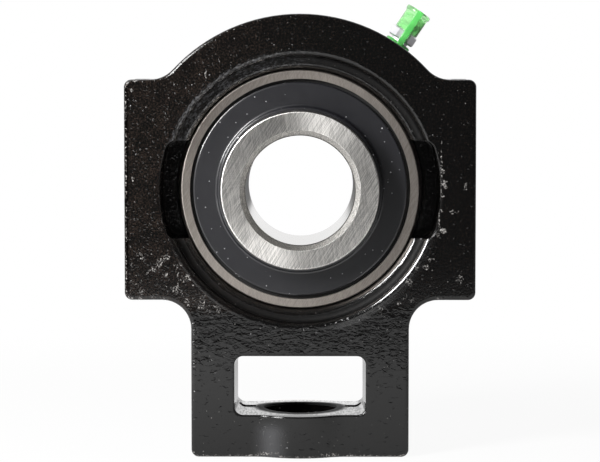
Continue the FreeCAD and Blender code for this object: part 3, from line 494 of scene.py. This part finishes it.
def paint_colour(tree, at, marks, calm, nibs_and_painted_light_left):
    """Black paint, browner in grains and towards the left as painted light; painted sheen in grey on
    the foot's streak and along the turned lines high in the recess.
    """
    grains = noise(tree, at.point, scale=2000.0, detail=3.0, roughness=0.75)
    # Painted light: the brown lifts towards the left, the lamp's side, over brown grains of the paint's
    # own.
    brown = total(tree, grains, product(tree, noise(tree, at.point, scale=260.0), nibs_and_painted_light_left, 0.30))
    paint = blended(tree, product(tree, ramp(tree, brown, 0.54, 0.80), calm), PAINT_BLACK, PAINT_BROWN)
    # Painted sheen: the lamp's reflection on the boss's left flank, as a grey streak.
    paint = blended(tree, at.rubbed, paint, SHEEN_STRIP_GREY)
    # Painted sheen of the lamp in grey along the turned lines high on the left of the recess.
    return blended(tree, sheen_streaks(tree, at, marks), paint, RECESS_SHEEN_GREY)


def paint_roughness(tree, at, loose):
    """How dull the paint is: more on the streak of painted sheen, where rough, in the cove, chipped or
    dusty.
    """
    glossy, if_rubbed, if_rough, in_cove, if_loose = 0.11, 0.25, 0.6, 0.45, 0.4
    dull = total(tree, glossy, product(tree, at.rubbed, if_rubbed), product(tree, at.rough, if_rough),
                 product(tree, at.cove, in_cove), product(tree, loose, if_loose))
    return calc(tree, "MINIMUM", dull, 1.0)


def painted_shade_film(tree, at):
    """Painted shade in the cove and along the left edge: metal over the black base takes their
    reflections away.
    """
    in_cove, on_edge = 0.65, 0.9
    left_edge = product(tree, ramp(tree, at.across, LEFT_EDGE + 1.5 * MM, LEFT_EDGE + 0.8 * MM),
                        ramp(tree, at.depth, FRONT_FACE + 2.2 * MM, FRONT_FACE + 1.4 * MM))
    return most(tree, product(tree, at.cove, in_cove), product(tree, left_edge, on_edge))


def paint_runs(tree, at):
    """Where paint ran together and dried smooth: on the window's walls, with grains left bare on its
    floor, and on the recess's ridge, low on the right and in broken lines high on the left."""
    bare_share = 0.65
    drawn_out = vector_calc(tree, "MULTIPLY", at.point, (1.0, 0.2, 1.0))
    covered = ramp(tree, noise(tree, drawn_out, scale=1500.0, detail=3.0), 0.40, 0.58)
    on_floor = ramp(tree, at.height, WINDOW_FLOOR + 4.5 * MM, WINDOW_FLOOR + 3 * MM)
    on_walls = product(tree, calc(tree, "SUBTRACT", at.window, at.rough),
                       away_from(tree, product(tree, on_floor, away_from(tree, covered)), bare_share))

    low_right = product(tree, ramp(tree, at.across, 6 * MM, 18 * MM), at.lower)
    high_left = product(tree, ramp(tree, at.across, 10 * MM, -10 * MM), at.upper,
                        ramp(tree, at.lines, 0.50, 0.58))
    on_ridge = product(tree, ramp(tree, at.radius, RIDGE_START, RIDGE_START + 0.5 * MM),
                       ramp(tree, at.radius, RECESS_EDGE + 2 * MM, RECESS_EDGE + MM),
                       most(tree, low_right, high_left), at.off_slots, away_from(tree, at.cove))
    return most(tree, on_walls, on_ridge)


def paint_edge(tree, at):
    """How far the paint rounds the edges over: most round the recess and the window's mouth, least
    on the left."""
    least, off_left_more, thick_more = 0.2 * MM, 0.3 * MM, 0.9 * MM
    crown_share, less_at_top = 0.3, 0.7
    off_left = ramp(tree, at.across, LEFT_EDGE - MM, LEFT_EDGE + 3 * MM)
    by_recess = product(tree, ramp(tree, at.radius, RECESS_EDGE + 3 * MM, RECESS_EDGE + MM),
                        away_from(tree, at.upper, less_at_top))
    beyond_slots = ramp(tree, at.radius, CROWN_START - 4 * MM, CROWN_START)
    on_crown = product(tree, beyond_slots, off_left, crown_share)
    return total(tree, least, product(tree, off_left, off_left_more),
                 product(tree, most(tree, by_recess, on_crown, at.mouth), thick_more))


def black_paint(specks, nibs, edge_wear, spot, marks):
    """Thick glossy black paint over a rough iron casting, smooth and dented on the neck."""
    fewest_nibs, more_on_left = 0.16, 0.5
    made, tree, shader = new_material("black_paint")
    at = casting_places(tree, marks)
    calm = grit_share(tree, at)
    # Denser nibs towards the left; the same weight lightens the paint's colour there as painted light.
    nibs_and_painted_light_left = total(tree, fewest_nibs,
                  product(tree, ramp(tree, at.across, 20 * MM, -35 * MM), more_on_left))
    chips_and_glint = paint_chips_and_glint(tree, at, edge_wear, spot)
    dust = use_group(tree, specks, Scale=420.0, Size=0.07, Share=0.16)["Mask"]
    fine_dust = use_group(tree, specks, Scale=1100.0, Size=0.13, Share=0.08)["Mask"]
    bright = ramp(tree, noise(tree, at.point, scale=1700.0), 0.4, 0.65)
    iron = blended(tree, bright, IRON_DARK, IRON_BRIGHT)
    # Bare iron where the paint is off, and at the top left corner as a painted highlight.
    colour = blended(tree, chips_and_glint, paint_colour(tree, at, marks, calm, nibs_and_painted_light_left), iron)
    relief = paint_relief(tree, at, nibs, calm, nibs_and_painted_light_left)
    feed(tree, shader, {
        "Base Color": blended(tree, most(tree, dust, fine_dust), colour, SPECK_GREY),
        # Painted shade: metallic over the black base darkens the cove and the left edge.
        "Metallic": painted_shade_film(tree, at),
        "Roughness": paint_roughness(tree, at, most(tree, chips_and_glint, dust)),
        "Coat Weight": paint_runs(tree, at), "Coat IOR": 1.8, "Coat Roughness": 0.12, "IOR": 1.52,
        "Normal": bumped(tree, MM, relief, paint_edge(tree, at), samples=6)})
    return made


def scratches(tree, place, angle, pitch, length):
    """Fine straight scratches across the front, at an angle from the right, in degrees."""
    lying = put(tree, "VectorRotate", {"Vector": place, "Angle": math.radians(angle)},
                rotation_type="Y_AXIS").outputs["Vector"]
    drawn_out = vector_calc(tree, "MULTIPLY", lying, (pitch / length, 1.0, 1.0))
    return noise(tree, drawn_out, scale=1 / pitch, detail=1.0)


def ground_steel(name, marks, colour, scratch_depth, lathe_depth, roughness, anisotropy, contrast,
                 smooth_bore=0.0):
    """Bearing steel. Its faces are ground nearly along the radius, off it by lean, a share of a full
    turn, and scratched; inside the radius smooth_bore it is finer. The depths are in hundredths of
    a millimetre."""
    fine, duller_chamfer, lean = 0.14, 0.25, 0.967
    made, tree, shader = new_material(name)
    place = object_place(tree)
    around = use_group(tree, marks, Around=70.0, Across=90.0, Along=400.0, Slant=0.3)
    rings = use_group(tree, marks, Around=2.0, Across=4200.0, Along=3000.0)
    main = scratches(tree, place, angle=58, pitch=0.17 * MM, length=8.0 * MM)
    cross = scratches(tree, place, angle=98, pitch=0.16 * MM, length=5.0 * MM)
    crossing = total(tree, product(tree, main, 0.55), product(tree, cross, 0.30),
                     product(tree, around["Mask"], 0.15))
    faces = ramp(tree, around["Radius"], smooth_bore - 0.1 * MM, smooth_bore + 0.1 * MM)
    chamfer = ramp(tree, around["Radius"], smooth_bore + 1.5 * MM, smooth_bore + 1.2 * MM)
    relief = total(tree, product(tree, crossing, scratch_depth),
                   product(tree, rings["Mask"], lathe_depth))
    feed(tree, shader, {
        "Base Color": blended(tree, product(tree, ramp(tree, crossing, 0.42, 0.58), faces),
                              shade(colour, 1 - contrast), shade(colour, 1 + contrast / 2)),
        "Metallic": 1.0,
        "Roughness": total(tree, fine, product(tree, faces, roughness - fine),
                           product(tree, chamfer, faces, duller_chamfer)),
        "Anisotropic": anisotropy, "Anisotropic Rotation": lean, "Tangent": around["Tangent"],
        "Normal": bumped(tree, 0.01 * MM, product(tree, relief, faces), edge=0.12 * MM)})
    return made


def plain_steel(name, colour, roughness, bump_size):
    """Bright or dark steel with a fine even grain."""
    darker, spread = 0.8, 0.1
    made, tree, shader = new_material(name)
    place = object_place(tree)
    grain = noise(tree, place, scale=1800.0, detail=3.0, roughness=0.6)
    cloud = noise(tree, place, scale=300.0)
    feed(tree, shader, {
        "Base Color": blended(tree, cloud, shade(colour, darker), shade(colour, 1.0)),
        "Metallic": 1.0,
        "Roughness": total(tree, roughness - spread / 2, product(tree, cloud, spread)),
        "Normal": bumped(tree, bump_size, grain)})
    return made


def slinger_coating(specks, marks):
    """Satin black coating with a few specks of dust and faint scuffs."""
    coat_dark, coat_pale = (0.003, 0.003, 0.0048, 1), (0.007, 0.007, 0.0098, 1)
    dust_pale = (0.6, 0.6, 0.62, 1)
    made, tree, shader = new_material("flinger_black")
    place = object_place(tree)
    scuff = noise(tree, place, scale=220.0, detail=4.0, roughness=0.7)
    dust = use_group(tree, specks, Scale=380.0, Size=0.08, Share=0.26)["Mask"]
    fine = use_group(tree, specks, Scale=900.0, Size=0.14, Share=0.14)["Mask"]
    rings = use_group(tree, marks, Around=1.5, Across=2600.0, Along=0.0)["Mask"]
    coat = blended(tree, scuff, coat_dark, coat_pale)
    relief = total(tree, product(tree, noise(tree, place, scale=2600.0), 0.7), product(tree, rings, 0.3))
    feed(tree, shader, {
        "Base Color": blended(tree, most(tree, dust, product(tree, fine, 0.6)), coat, dust_pale),
        "Roughness": total(tree, 0.38, product(tree, scuff, 0.1)), "IOR": 1.54,
        "Coat Weight": 1.0, "Coat Roughness": 0.12,
        "Normal": bumped(tree, 0.008 * MM, relief, edge=0.5 * MM)})
    return made


def seal_rubber():
    """Smooth black rubber."""
    rubber_dark, rubber_pale = (0.002, 0.002, 0.002, 1), (0.004, 0.004, 0.004, 1)
    made, tree, shader = new_material("seal_rubber")
    grain = noise(tree, object_place(tree), scale=1500.0)
    feed(tree, shader, {
        "Base Color": blended(tree, grain, rubber_dark, rubber_pale),
        "Roughness": total(tree, 0.6, product(tree, grain, 0.15))})
    return made


def green_plastic(name, deep, pale, clearness):
    """Soft green plastic that lets light through."""
    made, tree, shader = new_material(name)
    cloud = noise(tree, object_place(tree), scale=350.0)
    feed(tree, shader, {
        "Base Color": blended(tree, cloud, deep, pale),
        "Roughness": total(tree, 0.15, product(tree, cloud, 0.10)), "IOR": 1.12,
        "Transmission Weight": clearness, "Coat Weight": 0.8, "Coat Roughness": 0.08,
        "Normal": bumped(tree, 0.03 * MM, cloud)})
    return made


def table_white():
    """Matt white. To the camera it shines white, but for the object's faint shadow."""
    made = bpy.data.materials.new("white_table")
    made.use_nodes = True
    tree = made.node_tree
    tree.nodes.clear()
    matt = put(tree, "BsdfDiffuse", {"Color": TABLE_COLOUR}).outputs[0]
    glow = put(tree, "Emission", {"Color": WHITE, "Strength": 1.0}).outputs[0]
    beside = vector_calc(tree, "LENGTH", object_place(tree))
    lit = away_from(tree, ramp(tree, beside, SHADOW_GONE, SHADOW_WHOLE), SHADOW_SHARE)
    seen = product(tree, put(tree, "LightPath").outputs["Is Camera Ray"], lit)
    mix = put(tree, "MixShader", {0: seen, 1: matt, 2: glow})
    put(tree, "OutputMaterial", {"Surface": mix.outputs[0]})
    return made


def add_object(name, data):
    """An object in the scene."""
    made = bpy.data.objects.new(name, data)
    bpy.context.scene.collection.objects.link(made)
    return made


def new_piece(name, mesh, material):
    """An object made from a bmesh, with its finish. Extruding and spinning leave the faces in an
    order that changes from run to run, so they are sorted by their middles."""
    in_order = sorted(mesh.faces, key=lambda face: tuple(face.calc_center_median()))
    for number, face in enumerate(in_order):
        face.index = number
    mesh.faces.sort()
    data = bpy.data.meshes.new(name)
    mesh.to_mesh(data)
    mesh.free()
    data.materials.append(material)
    return add_object(name, data)


def clad(node, material):
    """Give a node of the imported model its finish."""
    slots = node.data.materials
    slots.clear()
    slots.append(material)


def spun(profile, steps=64):
    """A closed turned form: the profile is (radius, height) in metres, about the upright axis."""
    mesh = bmesh.new()
    points = [mesh.verts.new((radius, 0, height)) for radius, height in profile]
    edges = [mesh.edges.new((one, other)) for one, other in zip(points, points[1:])]
    if profile[0][0] > 0 and profile[-1][0] > 0:
        edges.append(mesh.edges.new((points[-1], points[0])))
    bmesh.ops.spin(mesh, geom=points + edges, axis=(0, 0, 1), cent=(0, 0, 0), angle=2 * math.pi,
                   steps=steps, use_merge=True)
    bmesh.ops.remove_doubles(mesh, verts=mesh.verts, dist=1e-7)
    bmesh.ops.recalc_face_normals(mesh, faces=mesh.faces)
    return mesh


def cap_piece(name, mesh, material):
    """A smooth piece of the cap, leaning with the nipple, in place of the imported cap."""
    bmesh.ops.transform(mesh, matrix=Matrix.Rotation(NIPPLE_LEAN, 4, "Y"), verts=mesh.verts)
    for face in mesh.faces:
        face.smooth = True
    piece = new_piece(name, mesh, material)
    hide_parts("nipple_cap")
    return piece


def cap_cup():
    """The turned cup over the nipple's head, with a flange and a dimple at its top."""
    soft = CAP_ROUNDING
    return spun([
        (0, HOLLOW_ROOF), (HOLLOW - 3 * soft, HOLLOW_ROOF), (HOLLOW, HOLLOW_ROOF - 3 * soft),
        (HOLLOW, CUP_RIM + soft), (HOLLOW + soft, CUP_RIM), (BARREL, CUP_RIM + soft),
        (BARREL, FLANGE_UNDER - soft), (BARREL + soft, FLANGE_UNDER), (FLANGE - soft, FLANGE_UNDER),
        (FLANGE, FLANGE_UNDER + soft), (FLANGE, CUP_TOP - 2 * soft), (FLANGE - 2 * soft, CUP_TOP),
        (DIMPLE + soft, CUP_TOP), (DIMPLE, CUP_TOP - soft), (DIMPLE_FOOT, DIMPLE_FLOOR),
        (0, DIMPLE_FLOOR)])


def cap_ring():
    """The turned ring round the nipple's neck."""
    soft = CAP_ROUNDING
    return spun([
        (CAP_NECK, NIPPLE_SEAT), (FLANGE - soft, NIPPLE_SEAT), (FLANGE, NIPPLE_SEAT + soft),
        (FLANGE, RING_TOP - 2 * soft), (FLANGE - 2 * soft, RING_TOP), (CAP_NECK, RING_TOP)])


def cap_strap():
    """The strap from the ring to the cup, cut across so that it can bend."""
    strap = bmesh.new()
    bmesh.ops.create_cube(strap, size=1.0)
    bmesh.ops.scale(strap, vec=(STRAP_WIDTH, STRAP_THICKNESS, CUP_TOP - NIPPLE_SEAT), verts=strap.verts)
    middle = (STRAP_ACROSS, STRAP_ALONG, (CUP_TOP + NIPPLE_SEAT) / 2)
    bmesh.ops.translate(strap, vec=middle, verts=strap.verts)
    long_edges = [edge for edge in strap.edges if abs(edge.verts[0].co.z - edge.verts[1].co.z) > MM]
    bmesh.ops.subdivide_edges(strap, edges=long_edges, cuts=STRAP_CUTS)
    corners = [edge for edge in strap.edges
               if len(edge.link_faces) == 2 and edge.calc_face_angle() > math.radians(80)]
    bmesh.ops.bevel(strap, geom=corners, offset=STRAP_ROUNDING, segments=3, profile=0.5, affect="EDGES",
                    material=-1)
    return strap


def make_cap(clear, solid):
    """The cap in three pieces: cup, ring and the strap between them."""
    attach(cap_piece("cap_cup", cap_cup(), clear), "cap")
    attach(cap_piece("cap_ring", cap_ring(), solid), "frame")
    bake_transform(cap_piece("cap_strap", cap_strap(), solid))


def make_spring(node, material):
    """The valve's spring, on the frame; in the nipple it shortens from its tip as the ball goes in."""
    mesh = bmesh.new()
    mesh.from_mesh(node.data)
    bmesh.ops.remove_doubles(mesh, verts=mesh.verts, dist=1e-7)
    spring = new_piece("valve_spring", mesh, material)
    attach(spring, "frame")
    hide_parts("nipple_spring")
    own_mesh(spring)


def floor_point(housing, across):
    """The point of the window's floor in the middle of its depth, beside the middle by across."""
    hit, place, _, _ = housing.ray_cast(Vector((across, 0, WINDOW_MIDDLE)), Vector((0, 0, -1)))
    if not hit:
        raise ValueError("no window floor under the seam")
    return place


def make_seam(housing, material):
    """The thin fin that the parting of the mould left on the window's floor, beside the hole."""
    section = [(-SEAM_FOOT, -SEAM_SINK), (-SEAM_FOOT / 3, SEAM_RISE), (SEAM_FOOT / 3, SEAM_RISE),
               (SEAM_FOOT, -SEAM_SINK)]
    for side, name in ((-1, "seam_left"), (1, "seam_right")):
        path = [floor_point(housing, side * (SEAM_START + (SEAM_END - SEAM_START) * step / SEAM_STEPS))
                for step in range(SEAM_STEPS + 1)]
        mesh = bmesh.new()
        end = mesh.faces.new([mesh.verts.new(path[0] + Vector((0, along, up))) for along, up in section])
        for here, there in zip(path, path[1:]):
            grown = bmesh.ops.extrude_face_region(mesh, geom=[end, *end.edges, *end.verts])["geom"]
            end = next(part for part in grown if isinstance(part, bmesh.types.BMFace))
            bmesh.ops.translate(mesh, vec=there - here, verts=end.verts)
        bmesh.ops.recalc_face_normals(mesh, faces=mesh.faces)
        piece = new_piece(name, mesh, material)
        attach(piece, "frame")


def make_table():
    """The plain white table under the object."""
    mesh = bmesh.new()
    bmesh.ops.create_grid(mesh, x_segments=1, y_segments=1, size=1.0)
    bmesh.ops.scale(mesh, vec=(TABLE_SIDE, (TABLE_BACK - TABLE_FRONT) / 2, 1.0), verts=mesh.verts)
    bmesh.ops.translate(mesh, vec=(0, (TABLE_BACK + TABLE_FRONT) / 2, TABLE_LEVEL), verts=mesh.verts)
    new_piece("table", mesh, table_white())


def make_world():
    """An even light, white to the camera. In reflections it is white behind the object, half bright
    on the left and dim elsewhere, as the room is."""
    world = bpy.data.worlds.new("studio")
    bpy.context.scene.world = world
    world.use_nodes = True
    tree = world.node_tree
    tree.nodes.clear()
    path = put(tree, "LightPath").outputs
    direction = put(tree, "TexCoord").outputs["Generated"]
    right, behind, _ = put(tree, "SeparateXYZ", {"Vector": direction}).outputs
    on_left = product(tree, ramp(tree, right, -0.40, -0.85), LEFT_LIGHT)
    mirrored = most(tree, on_left, ramp(tree, behind, 0.0, 0.25), ROOM_LIGHT)
    glossy = path["Is Glossy Ray"]
    strength = total(tree, product(tree, mirrored, glossy),
                     product(tree, away_from(tree, glossy), EVEN_LIGHT))
    light = put(tree, "Background", {"Color": WHITE, "Strength": most(
        tree, strength, path["Is Camera Ray"], path["Is Transmission Ray"])})
    put(tree, "OutputWorld", {"Surface": light.outputs[0]})


def make_lamp():
    """The soft upright lamp that faces the object."""
    data = bpy.data.lights.new("key", "AREA")
    data.shape = "RECTANGLE"
    data.size, data.size_y = LAMP_SIDE, LAMP_HEIGHT
    data.energy = LAMP_POWER
    lamp = add_object("key", data)
    lamp.location = LAMP_PLACE
    lamp.rotation_euler = (-Vector(LAMP_PLACE)).to_track_quat("-Z", "Y").to_euler()


def make_camera():
    """The camera, as the photograph was taken."""
    data = bpy.data.cameras.new("camera")
    data.sensor_width = CAMERA_SENSOR
    data.lens = CAMERA_LENS
    data.clip_start = CAMERA_NEAREST
    data.clip_end = CAMERA_FARTHEST
    camera = add_object("camera", data)
    camera.location = CAMERA_PLACE
    camera.rotation_euler = (Matrix.Rotation(CAMERA_TURN, 3, "Z")
                             @ Matrix.Rotation(math.pi / 2 - CAMERA_DIP, 3, "X")
                             @ Matrix.Rotation(CAMERA_ROLL, 3, "Z")).to_euler()
    bpy.context.scene.camera = camera


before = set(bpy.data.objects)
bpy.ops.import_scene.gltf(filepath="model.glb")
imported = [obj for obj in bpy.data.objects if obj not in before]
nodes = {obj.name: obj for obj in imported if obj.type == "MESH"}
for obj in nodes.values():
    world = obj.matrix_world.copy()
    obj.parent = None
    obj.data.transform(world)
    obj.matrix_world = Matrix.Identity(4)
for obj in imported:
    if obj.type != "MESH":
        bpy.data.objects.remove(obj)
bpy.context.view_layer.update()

make_camera()
make_world()
make_table()
make_lamp()

specks = specks_group()
edge_wear = edge_wear_group()
marks = ring_marks_group()

paint = black_paint(specks, nibs_group(), edge_wear, spot_group(), marks)
face_steel = ground_steel("inner_ring_steel", marks, colour=(0.76, 0.74, 0.71), scratch_depth=1.3,
                          lathe_depth=0.2, roughness=0.34, anisotropy=0.72, contrast=0.38,
                          smooth_bore=16.1 * MM)
ring_steel = ground_steel("outer_ring_steel", marks, colour=(0.36, 0.325, 0.295), scratch_depth=0.2,
                          lathe_depth=0.5, roughness=0.40, anisotropy=0.3, contrast=0.18)
polished = plain_steel("polished_steel", colour=(0.75, 0.75, 0.75), roughness=0.1, bump_size=0.001 * MM)
pressed = plain_steel("pressed_steel", colour=(0.55, 0.54, 0.52), roughness=0.35, bump_size=0.004 * MM)
oxide = plain_steel("black_oxide", colour=(0.06, 0.06, 0.065), roughness=0.35, bump_size=0.004 * MM)
plated = plain_steel("plated_steel", colour=(0.92, 0.92, 0.95), roughness=0.55, bump_size=0.002 * MM)
rubber = seal_rubber()
coating = slinger_coating(specks, marks)
clear_green = green_plastic("clear_green", deep=(0.36, 0.92, 0.34, 1), pale=(0.70, 1.0, 0.66, 1),
                            clearness=0.72)
solid_green = green_plastic("solid_green", deep=(0.12, 0.66, 0.15, 1), pale=(0.28, 0.86, 0.28, 1),
                            clearness=0.5)

finishes = {"housing": paint, "outer_ring": ring_steel, "inner_ring": face_steel, "cage_front": pressed,
            "cage_rear": pressed, "cage_rivets": pressed, "seal_front": rubber, "seal_rear": rubber,
            "flinger_front": coating, "flinger_rear": coating, "set_screw_1": oxide, "set_screw_2": oxide,
            "grease_nipple": plated, "nipple_ball": polished, "nipple_spring": plated,
            "nipple_cap": clear_green}
for name, node in nodes.items():
    clad(node, finishes.get(name, polished))
make_cap(clear_green, solid_green)
make_seam(nodes["housing"], paint)
make_spring(nodes["nipple_spring"], plated)

bpy.context.scene.view_settings.view_transform = "Standard"
